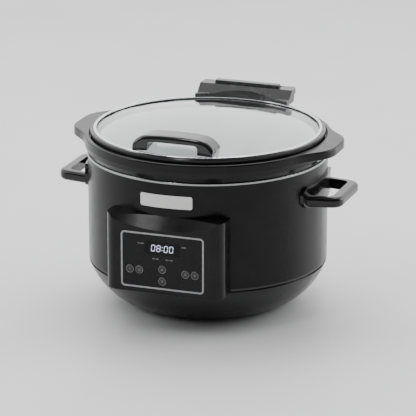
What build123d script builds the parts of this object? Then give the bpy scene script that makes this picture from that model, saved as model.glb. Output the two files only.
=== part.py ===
from build123d import *
from math import cos, radians, sin, sqrt
import os

os.makedirs("parts", exist_ok=True)

# Round digital slow cooker with a hinged glass lid, in millimetres.
# +Z is up, the front with its control panel faces -Y, and the origin lies on the
# worktop on the body's vertical axis.

# ---- Heating base: wall, rim and liner ----
wall_r = 148.5  # outside of the steel wall
wall_t = 0.8
wall_bottom_z = 57.0
wall_h = 131.5
fit_gap = 0.1  # side clearance of pieces that slot into each other
ring_lip = 1.8  # rim ring above the wall's top edge
ring_skirt = 0.9  # rim ring below the wall's top edge
ring_in = 2.6  # rim ring inside the wall's outer face
ring_out = 0.8  # rim ring outside the wall's outer face
liner_t = 1.0
liner_gap = 2.0  # air between crock and liner
wall_top_z = wall_bottom_z + wall_h
rim_top_z = wall_top_z + ring_lip
wall_in_r = wall_r - wall_t

# ---- Crock ----
crock_inset = 12.0  # wall's outer face to the crock's body at the rim
crock_taper = 11.5
crock_lift = 23.0  # wall's lower edge to the crock's underside
crock_wall = 7.5
crock_floor = 8.0
crock_heel_r = 16.0
collar_h = 23.2  # rim to the flange's top
flange_overhang = 4.5
flange_land = 7.0  # width of the flange outside the lid's seat
seat_depth = 4.5
lug_out = 17.0  # flange's edge to a lug's end
lug_half_w = 30.0
lug_corner_r = 42.0
lug_root_y = 62.0
lug_root_r = 90.0
lug_t = 10.0
flange_r = wall_r + flange_overhang
lug_reach = flange_r + lug_out
flange_z = rim_top_z + collar_h
seat_z = flange_z - seat_depth
seat_r = flange_r - flange_land
crock_top_r = wall_r - crock_inset
crock_base_z = wall_bottom_z + crock_lift
crock_drop = rim_top_z - crock_base_z  # rim to the crock's underside

# ---- Lid ----
lid_gap = 1.0  # lid to the crock's recess
gasket_h = 3.0
frame_h = 7.0
frame_w = 5.6
glass_t = 4.0
glass_drop = 1.5  # glass edge below the frame's top
dome_rise = 14.0
trim_w = 3.4
trim_h = 1.2
lid_r = seat_r - lid_gap
frame_z = seat_z + gasket_h
frame_top_z = frame_z + frame_h
frame_in_r = lid_r - frame_w
glass_r = frame_in_r - 2 * fit_gap
glass_edge_z = frame_top_z - glass_drop
dome_r = (glass_r**2 + dome_rise**2) / (2 * dome_rise)
dome_centre_z = glass_edge_z + dome_rise - dome_r
lid_handle_w = 102.0
lid_handle_d = 30.0
lid_handle_setback = 33.0  # lid's edge to the handle's centre line
lid_handle_top = 21.0  # handle's top above the frame's top
lid_handle_gap_w = 64.0
lid_handle_gap_z = 12.3  # top of the finger gap above the frame's top
lid_screw_inset = 9.5
washer_t = 1.0
lid_handle_y = -(lid_r - lid_handle_setback)

# ---- Hinge ----
pin_r = 2.5
pin_half_l = 38.5
pin_setback = 4.0  # flange's edge to the pin's axis
pin_lift = 7.5  # flange's top to the pin's axis
pin_fit = 0.05
knuckle_r = 5.5
ear_w = 8.0
ear_gap = 0.5
plate_half_w = 62.0
plate_top = 21.5  # hinge plate's rear top above the flange
plate_front_top = 11.5
latch_half_w = 43.0
latch_d = 10.0
latch_h = 6.0
latch_travel = 4.0
latch_sink = 1.6
slide_gap = 0.4
bracket_half_w = 42.0
clamp_half_w = 36.0
clamp_h = 9.0
pin_y = flange_r + pin_setback
pin_z = flange_z + pin_lift

# ---- Base pan and feet ----
pan_t = 2.5
foot_h = 4.0
pan_floor_inset = 44.5  # wall's outer face to the pan's flat floor
pan_bulge = 6.5  # how far the pan's side bows out from a straight cone
groove_depth = 3.0
groove_h = 3.0
ledge_t = 1.5
spigot_h = 9.0
stud_r = 3.0
nut_recess_r = 15.0
nut_recess_h = 6.0
foot_r = 9.0
foot_inset = 18.0  # edge of the pan's floor to the feet's centres
foot_screw_r = 1.5
pan_floor_r = wall_r - pan_floor_inset
foot_circle_r = pan_floor_r - foot_inset
pan_lip_z = wall_bottom_z - ledge_t - groove_h

# ---- Cord gland ----
cord_bore_r = 3.6
gland_r = 6.9
gland_z = 38.0
gland_y = wall_r - 1.0

# ---- Side handles ----
handle_drop = 38.0  # wall's top edge to the grips' mid-plane
handle_t = 13.0
handle_out = 36.5  # wall to the grip's outer face
handle_root_half = 50.0
handle_tip_half = 41.0
grip_w = 13.0
strand_w = 9.0
handle_plate_half = 55.0
handle_plate_h = 27.0
handle_plate_lift = 5.5  # grips' mid-plane to the plates' middle
handle_plate_t = 4.0
handle_screw_y = 43.0
handle_screw_r = 1.9
handle_plate_corner_r = 11.0
handle_corner_r = 15.0
handle_pilot_depth = 26.0
handle_z = wall_top_z - handle_drop
handle_root_x = sqrt(wall_r**2 - handle_plate_half**2) - 4  # where the grips and plates start
handle_plate_z = handle_z + handle_plate_lift

# ---- Badge ----
badge_w = 66.0
badge_h = 16.0
badge_set_down = 1.5  # badge's middle below the middle of the space over the module
badge_t = 1.5

# ---- Control module ----
module_half_w = 75.0
module_reach = 12.5  # wall's front to the module's face
module_skirt = 5.0  # module's bottom below the wall's lower edge
module_h = 95.0
module_corner_r = 15.0
shell_t = 2.5
scoop_lip_h = 80.0  # module's bottom to the scoop's front lip
scoop_slope = 49.0
scoop_r = 324.0
panel_w = 106.0
panel_h = 70.0
panel_lift = 41.4  # module's bottom to the panel's middle
panel_corner_r = 5.0
bezel_w = 2.2
bezel_proud = 0.3
fascia_flange = 2.0
fascia_flange_t = 1.2
display_w = 44.0
display_h = 16.0
display_rise = 16.6  # panel's middle to the display's
board_gap = 4.5  # fascia's rear to the board
board_t = 1.6
button_r = 5.3
button_hole_gap = 0.3
button_web = 0.8
button_travel = 0.8
button_proud = 0.4
button_row_drop = 12.4  # panel's middle to the outer buttons
button_edge_gap = 3.1  # bezel's inner edge to the lowest button
button_column_gap = 3.0  # extra pitch of the two middle buttons
pair_inset = 17.6  # panel's side to the middle of a pair of buttons
pair_x = panel_w / 2 - pair_inset
boss_inset = 12.0  # module's side to its screw bosses
boss_x = module_half_w - boss_inset
boss_low_z = wall_bottom_z + spigot_h + 5.0  # clear of the pan's spigot
boss_drop = 8.0  # scoop's lip to the upper bosses
boss_r = 3.5
module_bottom_z = wall_bottom_z - module_skirt
scoop_lip_z = module_bottom_z + scoop_lip_h
panel_z = module_bottom_z + panel_lift
display_z = panel_z + display_rise
button_row_z = panel_z - button_row_drop
button_down_z = panel_z - panel_h / 2 + bezel_w + button_edge_gap + button_r
boss_high_z = scoop_lip_z - boss_drop
badge_z = (module_bottom_z + module_h + wall_top_z - ring_skirt) / 2 - badge_set_down
face_y = wall_r + module_reach  # distance of the module's face in front of the axis
fascia_back_y = face_y - shell_t
flange_back_y = fascia_back_y - fascia_flange_t
board_y = flange_back_y - board_gap
button_pitch = 2 * (button_r + button_hole_gap) + button_web
buttons = {
    "power_button": (-pair_x - button_pitch / 2, button_row_z),
    "mode_button": (-pair_x + button_pitch / 2, button_row_z),
    "time_up_button": (0.0, button_down_z + button_pitch + button_column_gap),
    "time_down_button": (0.0, button_down_z),
    "heat_button": (pair_x - button_pitch / 2, button_row_z),
    "warm_button": (pair_x + button_pitch / 2, button_row_z),
}


def facing(distance):
    """A plane square to Y, that far in front of the axis; its normal points forward."""
    return Plane.XZ.offset(distance)


def crock_r(z):
    """Outer radius of the crock's tapered body at a height."""
    return crock_top_r - crock_taper * (rim_top_z - z) / crock_drop


def liner_r(z):
    """Inner radius of the heating liner at a height."""
    return crock_r(z) + liner_gap


def dome_z(radius):
    """Height of the glass's upper surface at a radius."""
    return dome_centre_z + sqrt(dome_r**2 - radius**2)


def chord(radius, offset):
    """Half chord of a circle at an offset from its centre."""
    return sqrt(radius**2 - offset**2)


# ================= Heating base =================

with BuildPart() as housing_wall:
    with BuildSketch(Plane.XY.offset(wall_bottom_z)):
        Circle(wall_r)
        Circle(wall_in_r, mode=Mode.SUBTRACT)
    extrude(amount=wall_h)
    # Window behind the display board
    with BuildSketch(facing(0)):
        with Locations((0, panel_z)):
            Rectangle(panel_w + 4, panel_h - 6)
    extrude(amount=wall_r + 5, mode=Mode.SUBTRACT)
    # Holes for the control module's screws
    with BuildSketch(facing(0)):
        with Locations(*[(x, z) for x in (-boss_x, boss_x) for z in (boss_low_z, boss_high_z)]):
            Circle(2)
    extrude(amount=wall_r + 5, mode=Mode.SUBTRACT)
    # Holes for the handles' screws, right through both sides
    with BuildSketch(Plane.YZ):
        with Locations((-handle_screw_y, handle_z), (handle_screw_y, handle_z)):
            Circle(handle_screw_r + 0.4)
    extrude(amount=wall_r + 5, both=True, mode=Mode.SUBTRACT)

with BuildPart() as rim_ring:
    groove_in_r = wall_in_r - fit_gap
    groove_out_r = wall_r + fit_gap
    ring_bottom_z = wall_top_z - ring_skirt
    with BuildSketch(Plane.XZ):
        with BuildLine():
            Polyline(
                (wall_r - ring_in, ring_bottom_z),
                (groove_in_r, ring_bottom_z),
                (groove_in_r, wall_top_z),
                (groove_out_r, wall_top_z),
                (groove_out_r, ring_bottom_z),
                (wall_r + ring_out, ring_bottom_z),
                (wall_r + ring_out, rim_top_z),
                (wall_r - ring_in, rim_top_z),
                close=True,
            )
        make_face()
    revolve(axis=Axis.Z)
    top_edges = rim_ring.edges().filter_by_position(Axis.Z, rim_top_z, rim_top_z)
    fillet(top_edges, 0.7)

with BuildPart() as heating_liner:
    liner_floor_z = crock_base_z - 1.5
    liner_top_z = ring_bottom_z
    with BuildSketch(Plane.XZ):
        with BuildLine():
            Polyline(
                (0, liner_floor_z - liner_t),
                (liner_r(liner_floor_z - liner_t) + liner_t, liner_floor_z - liner_t),
                (liner_r(liner_top_z - liner_t) + liner_t, liner_top_z - liner_t),
                (wall_in_r - fit_gap, liner_top_z - liner_t),
                (wall_in_r - fit_gap, liner_top_z),
                (liner_r(liner_top_z), liner_top_z),
                (liner_r(liner_floor_z), liner_floor_z),
                (0, liner_floor_z),
                close=True,
            )
        make_face()
    revolve(axis=Axis.Z)

band_low_z = liner_floor_z + 14
band_h = 46.0
band_t = 2.0
strap_t = 0.8
strap_h = 8.0


def liner_sleeve(low_z, height, gap, thickness):
    """Outline of a sleeve that follows the liner's tapered outside."""
    points = [(low_z, 0), (low_z + height, 0), (low_z + height, thickness), (low_z, thickness)]
    return [(liner_r(z) + liner_t + gap + extra, z) for z, extra in points]


with BuildPart() as heater_band:
    with BuildSketch(Plane.XZ):
        with BuildLine():
            Polyline(*liner_sleeve(band_low_z, band_h, 0, band_t), close=True)
        make_face()
    revolve(axis=Axis.Z)

with BuildPart() as heater_straps:
    for strap_z in (band_low_z + 6, band_low_z + band_h - 6 - strap_h):
        with BuildSketch(Plane.XZ):
            with BuildLine():
                Polyline(*liner_sleeve(strap_z, strap_h, band_t, strap_t), close=True)
            make_face()
    revolve(axis=Axis.Z)

with BuildPart() as heat_shield:
    shield_r = wall_r - 7.5
    shield_t = 0.6
    shield_half_angle = 30.0
    shield_low_z = liner_floor_z + 6
    with BuildSketch(Plane.XY.offset(shield_low_z)):
        with BuildLine(Plane.XY.rotated((0, 0, -90 - shield_half_angle))):
            Line((shield_r, 0), (wall_in_r, 0))
            Line((wall_in_r, 0), (wall_in_r, shield_t))
            Line((wall_in_r, shield_t), (shield_r, shield_t))
            Line((shield_r, shield_t), (shield_r, 0))
        make_face()
        with BuildLine(Plane.XY.rotated((0, 0, -90 + shield_half_angle))):
            Line((shield_r, 0), (wall_in_r, 0))
            Line((wall_in_r, 0), (wall_in_r, -shield_t))
            Line((wall_in_r, -shield_t), (shield_r, -shield_t))
            Line((shield_r, -shield_t), (shield_r, 0))
        make_face()
        with BuildLine():
            CenterArc((0, 0), shield_r + shield_t / 2, -90 - shield_half_angle, 2 * shield_half_angle)
        trace(line_width=shield_t)
    extrude(amount=64)
    # Trim the ends to the wall's round inside
    with BuildSketch(Plane.XY.offset(shield_low_z)):
        Circle(wall_in_r)
    extrude(amount=64, mode=Mode.INTERSECT)

with BuildPart() as thermal_fuse:
    fuse_z = band_low_z + band_h + 4
    fuse_r = 2.6
    fuse_l = 24.0
    fuse_angle = radians(55)
    fuse_x = liner_r(fuse_z + fuse_l) + liner_t + fuse_r + 0.02
    with BuildSketch(Plane(origin=(0, 0, fuse_z), x_dir=(cos(fuse_angle), sin(fuse_angle), 0))):
        with Locations((fuse_x, 0)):
            Circle(fuse_r)
    extrude(amount=fuse_l)

with BuildPart() as temperature_sensor:
    sensor_h = 5.0
    with BuildSketch(Plane.XY.offset(liner_floor_z - liner_t)):
        with Locations((-42, 0)):
            Circle(7)
    extrude(amount=-sensor_h)

with BuildPart() as sensor_clip:
    with BuildSketch(Plane.XZ):
        with BuildLine():
            clip_z = liner_floor_z - liner_t
            Polyline(
                (-66, clip_z),
                (-66, clip_z - 1),
                (-52.5, clip_z - 1),
                (-52.5, clip_z - sensor_h - 1),
                (-33, clip_z - sensor_h - 1),
                (-33, clip_z - sensor_h),
                (-51.5, clip_z - sensor_h),
                (-51.5, clip_z),
                close=True,
            )
        make_face()
    extrude(amount=5, both=True)

# ---- Base pan ----

foot_xy = foot_circle_r * cos(radians(45))
board_centre_y = 58.0
power_w = 80.0
power_d = 54.0
standoff_h = 9.0
standoff_pitch = (power_w - 10, power_d - 10)
pan_floor_z = foot_h + pan_t
power_board_z = pan_floor_z + standoff_h

with BuildPart() as base_pan:
    spigot_r = wall_in_r - fit_gap
    neck_r = wall_r - groove_depth
    with BuildSketch(Plane.XZ):
        with BuildLine():
            Polyline(
                (0, foot_h + nut_recess_h),
                (nut_recess_r - 1, foot_h + nut_recess_h),
                (nut_recess_r + 1, foot_h),
                (pan_floor_r, foot_h),
            )
            SagittaArc((pan_floor_r, foot_h), (wall_r - 0.5, pan_lip_z), -pan_bulge)
            Polyline(
                (wall_r - 0.5, pan_lip_z),
                (neck_r, pan_lip_z),
                (neck_r, pan_lip_z + groove_h),
                (wall_r, pan_lip_z + groove_h),
                (wall_r, wall_bottom_z),
                (spigot_r, wall_bottom_z),
                (spigot_r, wall_bottom_z + spigot_h),
                (neck_r - pan_t, wall_bottom_z + spigot_h),
                (neck_r - pan_t, pan_lip_z),
            )
            SagittaArc((neck_r - pan_t, pan_lip_z), (pan_floor_r - 1, pan_floor_z), pan_bulge)
            Polyline(
                (pan_floor_r - 1, pan_floor_z),
                (nut_recess_r + 1 + pan_t, pan_floor_z),
                (nut_recess_r - 1 + pan_t, foot_h + nut_recess_h + pan_t),
                (0, foot_h + nut_recess_h + pan_t),
                (0, foot_h + nut_recess_h),
            )
        make_face()
    revolve(axis=Axis.Z)
    # Standoffs for the power board and bosses for the feet
    with BuildSketch(Plane.XY.offset(pan_floor_z)):
        with Locations((0, board_centre_y)):
            with GridLocations(*standoff_pitch, 2, 2):
                Circle(3.5)
    extrude(amount=standoff_h)
    with BuildSketch(Plane.XY.offset(pan_floor_z)):
        with GridLocations(2 * foot_xy, 2 * foot_xy, 2, 2):
            Circle(4.5)
    extrude(amount=7)
    # Pad round the cord gland
    with BuildSketch(facing(-gland_y)):
        with Locations((0, gland_z)):
            Circle(gland_r + 4)
    extrude(amount=20)
    # Pilot holes
    with BuildSketch(Plane.XY.offset(pan_floor_z + standoff_h - 8)):
        with Locations((0, board_centre_y)):
            with GridLocations(*standoff_pitch, 2, 2):
                Circle(1.3)
    extrude(amount=8, mode=Mode.SUBTRACT)
    with BuildSketch(Plane.XY.offset(foot_h)):
        with GridLocations(2 * foot_xy, 2 * foot_xy, 2, 2):
            Circle(foot_screw_r + 0.05)
    extrude(amount=pan_t + 5.5, mode=Mode.SUBTRACT)
    # Hole for the centre stud, gland hole and cooling slots
    with BuildSketch():
        Circle(stud_r + 0.4)
        with PolarLocations(58, 8, start_angle=200, angular_range=140, endpoint=True):
            SlotOverall(26, 3.2)
    extrude(amount=20, mode=Mode.SUBTRACT)
    with BuildSketch(facing(-gland_y)):
        with Locations((0, gland_z)):
            Circle(gland_r + fit_gap)
    extrude(amount=20, mode=Mode.SUBTRACT)

with BuildPart() as rubber_feet:
    with BuildSketch():
        with GridLocations(2 * foot_xy, 2 * foot_xy, 2, 2):
            Circle(foot_r)
    extrude(amount=foot_h)
    chamfer(rubber_feet.edges().filter_by_position(Axis.Z, 0, 0), 0.8)
    with BuildSketch():
        with GridLocations(2 * foot_xy, 2 * foot_xy, 2, 2):
            Circle(3.4)
    extrude(amount=foot_h - 1.4, mode=Mode.SUBTRACT)
    with BuildSketch():
        with GridLocations(2 * foot_xy, 2 * foot_xy, 2, 2):
            Circle(foot_screw_r + 0.2)
    extrude(amount=foot_h, mode=Mode.SUBTRACT)

with BuildPart() as foot_screws:
    with BuildSketch(Plane.XY.offset(foot_h - 1.4)):
        with GridLocations(2 * foot_xy, 2 * foot_xy, 2, 2):
            Circle(3.1)
    extrude(amount=-1.6)
    with BuildSketch(Plane.XY.offset(foot_h - 1.4)):
        with GridLocations(2 * foot_xy, 2 * foot_xy, 2, 2):
            Circle(foot_screw_r)
    extrude(amount=8)

with BuildPart() as centre_stud:
    with BuildSketch(Plane.XY.offset(liner_floor_z - liner_t)):
        Circle(12)
    extrude(amount=-2)
    with BuildSketch(Plane.XY.offset(liner_floor_z - liner_t)):
        Circle(stud_r)
    extrude(amount=-(liner_floor_z - liner_t - foot_h))

with BuildPart() as centre_nut:
    nut_top_z = foot_h + nut_recess_h
    with BuildSketch(Plane.XY.offset(nut_top_z)):
        Circle(8)
    extrude(amount=-1.2)
    with BuildSketch(Plane.XY.offset(nut_top_z - 1.2)):
        RegularPolygon(5, 6, major_radius=False)
    extrude(amount=-4)
    with BuildSketch(Plane.XY.offset(nut_top_z)):
        Circle(stud_r + 0.05)
    extrude(amount=-6, mode=Mode.SUBTRACT)

with BuildPart() as cord_gland:
    with BuildSketch(facing(-gland_y)):
        with Locations((0, gland_z)):
            Circle(gland_r)
    extrude(amount=24)
    with BuildSketch(facing(-gland_y)):
        with Locations((0, gland_z)):
            Circle(gland_r + 2.6)
    extrude(amount=-3)
    with BuildSketch(facing(-gland_y - 3)):
        with Locations((0, gland_z)):
            Circle(5.6)
    extrude(amount=-7)
    with BuildSketch(facing(-gland_y - 10)):
        with Locations((0, gland_z)):
            Circle(cord_bore_r)
    extrude(amount=34, mode=Mode.SUBTRACT)

# ---- Power electronics ----

with BuildPart() as power_board:
    with BuildSketch(Plane.XY.offset(power_board_z)):
        with Locations((0, board_centre_y)):
            RectangleRounded(power_w, power_d, 2)
            with GridLocations(*standoff_pitch, 2, 2):
                Circle(1.6, mode=Mode.SUBTRACT)
    extrude(amount=board_t)

with BuildPart() as power_board_screws:
    with BuildSketch(Plane.XY.offset(power_board_z + board_t)):
        with Locations((0, board_centre_y)):
            with GridLocations(*standoff_pitch, 2, 2):
                Circle(2.6)
    extrude(amount=1.8)
    with BuildSketch(Plane.XY.offset(power_board_z + board_t)):
        with Locations((0, board_centre_y)):
            with GridLocations(*standoff_pitch, 2, 2):
                Circle(1.25)
    extrude(amount=-board_t - 7)

with BuildPart() as transformer:
    with BuildSketch(Plane.XY.offset(power_board_z + board_t)):
        with Locations((-18, board_centre_y + 4)):
            RectangleRounded(26, 22, 2)
    extrude(amount=20)

with BuildPart() as relay:
    with BuildSketch(Plane.XY.offset(power_board_z + board_t)):
        with Locations((10, board_centre_y + 6)):
            RectangleRounded(20, 16, 1)
    extrude(amount=16)

with BuildPart() as terminal_block:
    with BuildSketch(Plane.XY.offset(power_board_z + board_t)):
        with Locations((10, board_centre_y - 12)):
            Rectangle(24, 9)
    extrude(amount=10)

# ---- Side handles ----


def handle_loop():
    """The grip of the right-hand handle, running on into the wall."""
    reach = wall_r + handle_out
    root_x = handle_root_x
    slant = (handle_root_half - handle_tip_half) / (reach - root_x)
    hole_in_x = wall_r - 4
    hole_out_x = reach - grip_w
    with BuildPart() as loop:
        with BuildSketch(Plane.XY.offset(handle_z)) as plan:
            with BuildLine():
                Polyline(
                    (root_x, -handle_root_half),
                    (reach, -handle_tip_half),
                    (reach, handle_tip_half),
                    (root_x, handle_root_half),
                    close=True,
                )
            make_face()
            fillet(plan.vertices().sort_by(Axis.X)[-2:], handle_corner_r)
        extrude(amount=handle_t / 2, both=True)
        fillet(loop.faces().filter_by(Plane.XY).edges(), 4.5)
        with BuildSketch(Plane.XY.offset(handle_z)) as hole:
            with BuildLine():
                half_in = handle_root_half - slant * (hole_in_x - root_x) - strand_w
                half_out = handle_root_half - slant * (hole_out_x - root_x) - strand_w
                Polyline(
                    (hole_in_x, -half_in),
                    (hole_out_x, -half_out),
                    (hole_out_x, half_out),
                    (hole_in_x, half_in),
                    close=True,
                )
            make_face()
            fillet(hole.vertices().sort_by(Axis.X)[-2:], handle_corner_r - 6)
        extrude(amount=handle_t, both=True, mode=Mode.SUBTRACT)
    return loop.part


with BuildPart() as side_handle_right:
    # Plate that hugs the wall
    with BuildSketch(Plane.YZ.offset(handle_root_x)):
        with Locations((0, handle_plate_z)):
            RectangleRounded(2 * handle_plate_half, handle_plate_h, handle_plate_corner_r)
    extrude(amount=30)
    with BuildSketch(Plane.XY.offset(handle_plate_z)):
        Circle(wall_r + handle_plate_t)
    extrude(amount=handle_plate_h, both=True, mode=Mode.INTERSECT)
    add(handle_loop())
    with BuildSketch(Plane.XY.offset(handle_z)):
        Circle(wall_r)
    extrude(amount=handle_plate_h, both=True, mode=Mode.SUBTRACT)
    # Pilot holes for its two screws
    with BuildSketch(Plane.YZ.offset(handle_root_x)):
        with Locations((-handle_screw_y, handle_z), (handle_screw_y, handle_z)):
            Circle(handle_screw_r + 0.05)
    extrude(amount=handle_pilot_depth, mode=Mode.SUBTRACT)

with BuildPart() as side_handle_left:
    mirror(side_handle_right.part, about=Plane.YZ)

backing_t = 2.0
backing_r = wall_in_r - backing_t
with BuildPart() as handle_backing_plates:
    with BuildSketch(Plane.YZ):
        with Locations((0, handle_z)):
            RectangleRounded(2 * handle_screw_y + 14, 14, 3)
        with Locations((-handle_screw_y, handle_z), (handle_screw_y, handle_z)):
            Circle(handle_screw_r + 0.4, mode=Mode.SUBTRACT)
    extrude(amount=wall_r, both=True)
    with BuildSketch(Plane.XY.offset(handle_z)):
        Circle(wall_in_r)
        Circle(backing_r, mode=Mode.SUBTRACT)
    extrude(amount=handle_plate_h, both=True, mode=Mode.INTERSECT)

with BuildPart() as handle_screws:
    handle_head_x = chord(backing_r, handle_screw_y + 3.2) - 0.05
    for side in (-1, 1):
        screw_plane = Plane(origin=(side * handle_head_x, 0, handle_z), x_dir=(0, 1, 0), z_dir=(side, 0, 0))
        with BuildSketch(screw_plane):
            with Locations((-handle_screw_y, 0), (handle_screw_y, 0)):
                Circle(3.2)
        extrude(amount=-2.2)
        with BuildSketch(screw_plane):
            with Locations((-handle_screw_y, 0), (handle_screw_y, 0)):
                Circle(handle_screw_r)
        extrude(amount=16)

with BuildPart() as badge:
    with BuildSketch(facing(wall_r - 10)):
        with Locations((0, badge_z)):
            RectangleRounded(badge_w, badge_h, 2.5)
    extrude(amount=20)
    with BuildSketch(Plane.XY.offset(badge_z)):
        Circle(wall_r + badge_t)
        Circle(wall_r, mode=Mode.SUBTRACT)
    extrude(amount=badge_h, both=True, mode=Mode.INTERSECT)

# ================= Control module =================


def module_plan(inset, front_y):
    """Plan of the module: a rounded box front, open towards the wall."""
    half = module_half_w - inset
    back_y = -wall_r + 40
    with BuildSketch() as plan:
        with BuildLine():
            Polyline(
                (-half, back_y),
                (-half, -front_y),
                (half, -front_y),
                (half, back_y),
                close=True,
            )
        make_face()
        fillet(plan.vertices().sort_by(Axis.Y)[:2], module_corner_r - inset)
        Circle(wall_r, mode=Mode.SUBTRACT)
    return plan.sketch


with BuildPart() as control_housing:
    add(Pos(0, 0, module_bottom_z) * module_plan(0, face_y))
    extrude(amount=module_h)
    bottom_edges = control_housing.edges().filter_by_position(Axis.Z, module_bottom_z, module_bottom_z)
    front_edges = bottom_edges.filter_by(
        lambda edge: edge.center().Y < -wall_r + 12 and edge.bounding_box().min.Y < -wall_r - 2
    )
    fillet(front_edges, 2)
    # Shallow finger scoop that runs up and back to the wall
    tilt = radians(scoop_slope)
    scoop_axis = Vector(0, cos(tilt), sin(tilt))
    scoop_up = Vector(0, -sin(tilt), cos(tilt))
    scoop_plane = Plane(
        origin=Vector(0, -face_y, scoop_lip_z) + scoop_up * scoop_r, x_dir=(1, 0, 0), z_dir=scoop_axis
    )
    with BuildSketch(scoop_plane):
        Circle(scoop_r)
    extrude(amount=80, both=True, mode=Mode.SUBTRACT)
    # Hollow inside
    cavity_top_z = scoop_lip_z - 1
    add(Pos(0, 0, module_bottom_z + shell_t) * module_plan(shell_t, fascia_back_y))
    extrude(amount=cavity_top_z - module_bottom_z - shell_t, mode=Mode.SUBTRACT)
    # Window for the fascia
    with BuildSketch(facing(fascia_back_y - 1)):
        with Locations((0, panel_z)):
            RectangleRounded(panel_w, panel_h, panel_corner_r)
    extrude(amount=shell_t + 5, mode=Mode.SUBTRACT)
    # Screw bosses that reach back to the wall
    with BuildSketch(facing(fascia_back_y)):
        with Locations(*[(x, z) for x in (-boss_x, boss_x) for z in (boss_low_z, boss_high_z)]):
            Circle(boss_r)
    extrude(amount=-40)
    with BuildSketch(Plane.XY.offset(module_bottom_z)):
        Circle(wall_r)
    extrude(amount=module_h, mode=Mode.SUBTRACT)
    with BuildSketch(facing(fascia_back_y - 4)):
        with Locations(*[(x, z) for x in (-boss_x, boss_x) for z in (boss_low_z, boss_high_z)]):
            Circle(1.55)
    extrude(amount=-40, mode=Mode.SUBTRACT)

with BuildPart() as control_screws:
    control_head_y = chord(wall_in_r, boss_x + 3) - 0.05
    with BuildSketch(facing(control_head_y)):
        with Locations(*[(x, z) for x in (-boss_x, boss_x) for z in (boss_low_z, boss_high_z)]):
            Circle(3)
    extrude(amount=-2)
    with BuildSketch(facing(control_head_y)):
        with Locations(*[(x, z) for x in (-boss_x, boss_x) for z in (boss_low_z, boss_high_z)]):
            Circle(1.5)
    extrude(amount=16)

fascia_w = panel_w - 2 * bezel_w
fascia_h = panel_h - 2 * bezel_w
board_w = fascia_w + 2
board_h = fascia_h - 2
board_screw_pitch = (board_w - 7, board_h - 7)

with BuildPart() as panel_bezel:
    with BuildSketch(facing(face_y + bezel_proud)):
        with Locations((0, panel_z)):
            RectangleRounded(panel_w - 2 * fit_gap, panel_h - 2 * fit_gap, panel_corner_r - fit_gap)
            RectangleRounded(fascia_w, fascia_h, panel_corner_r - bezel_w, mode=Mode.SUBTRACT)
    extrude(amount=-shell_t - bezel_proud)

with BuildPart() as control_fascia:
    with BuildSketch(facing(face_y)):
        with Locations((0, panel_z)):
            RectangleRounded(fascia_w - 2 * fit_gap, fascia_h - 2 * fit_gap, panel_corner_r - bezel_w)
    extrude(amount=-shell_t)
    with BuildSketch(facing(fascia_back_y)):
        with Locations((0, panel_z)):
            Rectangle(panel_w + 2 * fascia_flange, panel_h + 2 * fascia_flange)
    extrude(amount=-fascia_flange_t)
    # Posts for the display board
    with BuildSketch(facing(flange_back_y)):
        with Locations((0, panel_z)):
            with GridLocations(*board_screw_pitch, 2, 2):
                Circle(2.8)
    extrude(amount=-board_gap)
    with BuildSketch(facing(board_y)):
        with Locations((0, panel_z)):
            with GridLocations(*board_screw_pitch, 2, 2):
                Circle(1.05)
    extrude(amount=5, mode=Mode.SUBTRACT)
    # Display opening and button holes
    with BuildSketch(facing(face_y + 1)):
        with Locations((0, display_z)):
            RectangleRounded(display_w, display_h, 1.5)
        with Locations(*buttons.values()):
            Circle(button_r + button_hole_gap)
    extrude(amount=-10, mode=Mode.SUBTRACT)

with BuildPart() as display_window:
    with BuildSketch(facing(face_y)):
        with Locations((0, display_z)):
            RectangleRounded(display_w - 2 * fit_gap, display_h - 2 * fit_gap, 1.4)
    extrude(amount=-1.2)

with BuildPart() as display_module:
    with BuildSketch(facing(face_y - 1.2)):
        with Locations((0, display_z)):
            Rectangle(display_w - 1, display_h - 1)
    extrude(amount=-(face_y - 1.2 - board_y))

with BuildPart() as display_board:
    with BuildSketch(facing(board_y)):
        with Locations((0, panel_z)):
            RectangleRounded(board_w, board_h, 2)
            with GridLocations(*board_screw_pitch, 2, 2):
                Circle(1.3, mode=Mode.SUBTRACT)
    extrude(amount=-board_t)

with BuildPart() as board_screws:
    with BuildSketch(facing(board_y - board_t)):
        with Locations((0, panel_z)):
            with GridLocations(*board_screw_pitch, 2, 2):
                Circle(2.2)
    extrude(amount=-1.5)
    with BuildSketch(facing(board_y - board_t)):
        with Locations((0, panel_z)):
            with GridLocations(*board_screw_pitch, 2, 2):
                Circle(1)
    extrude(amount=board_t + 4)

switch_h = 1.5
button_flange_t = 1.0
button_stem_end_y = board_y + switch_h + button_travel + 0.4
with BuildPart() as tactile_switches:
    with BuildSketch(facing(board_y)):
        with Locations(*buttons.values()):
            Rectangle(6, 6)
    extrude(amount=switch_h - 0.5)
    with BuildSketch(facing(board_y)):
        with Locations(*buttons.values()):
            Circle(1.6)
    extrude(amount=switch_h)


def push_button(place):
    """One round button: cap, retaining flange behind the fascia, and stem."""
    with BuildPart() as button:
        with BuildSketch(facing(face_y + button_proud)):
            with Locations(place):
                Circle(button_r)
        extrude(amount=-(face_y + button_proud - flange_back_y + slide_gap))
        cap_y = -face_y - button_proud
        chamfer(button.edges().filter_by_position(Axis.Y, cap_y, cap_y), 0.3)
        with BuildSketch(facing(flange_back_y - 0.2)):
            with Locations(place):
                SlotOverall(2 * button_r + 2.6, 2 * button_r - 2, rotation=90)
        extrude(amount=-button_flange_t)
        with BuildSketch(facing(flange_back_y - 0.2)):
            with Locations(place):
                Circle(1.8)
        extrude(amount=-(flange_back_y - 0.2 - button_stem_end_y))
    return button


power_button = push_button(buttons["power_button"])
mode_button = push_button(buttons["mode_button"])
time_up_button = push_button(buttons["time_up_button"])
time_down_button = push_button(buttons["time_down_button"])
heat_button = push_button(buttons["heat_button"])
warm_button = push_button(buttons["warm_button"])

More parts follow.
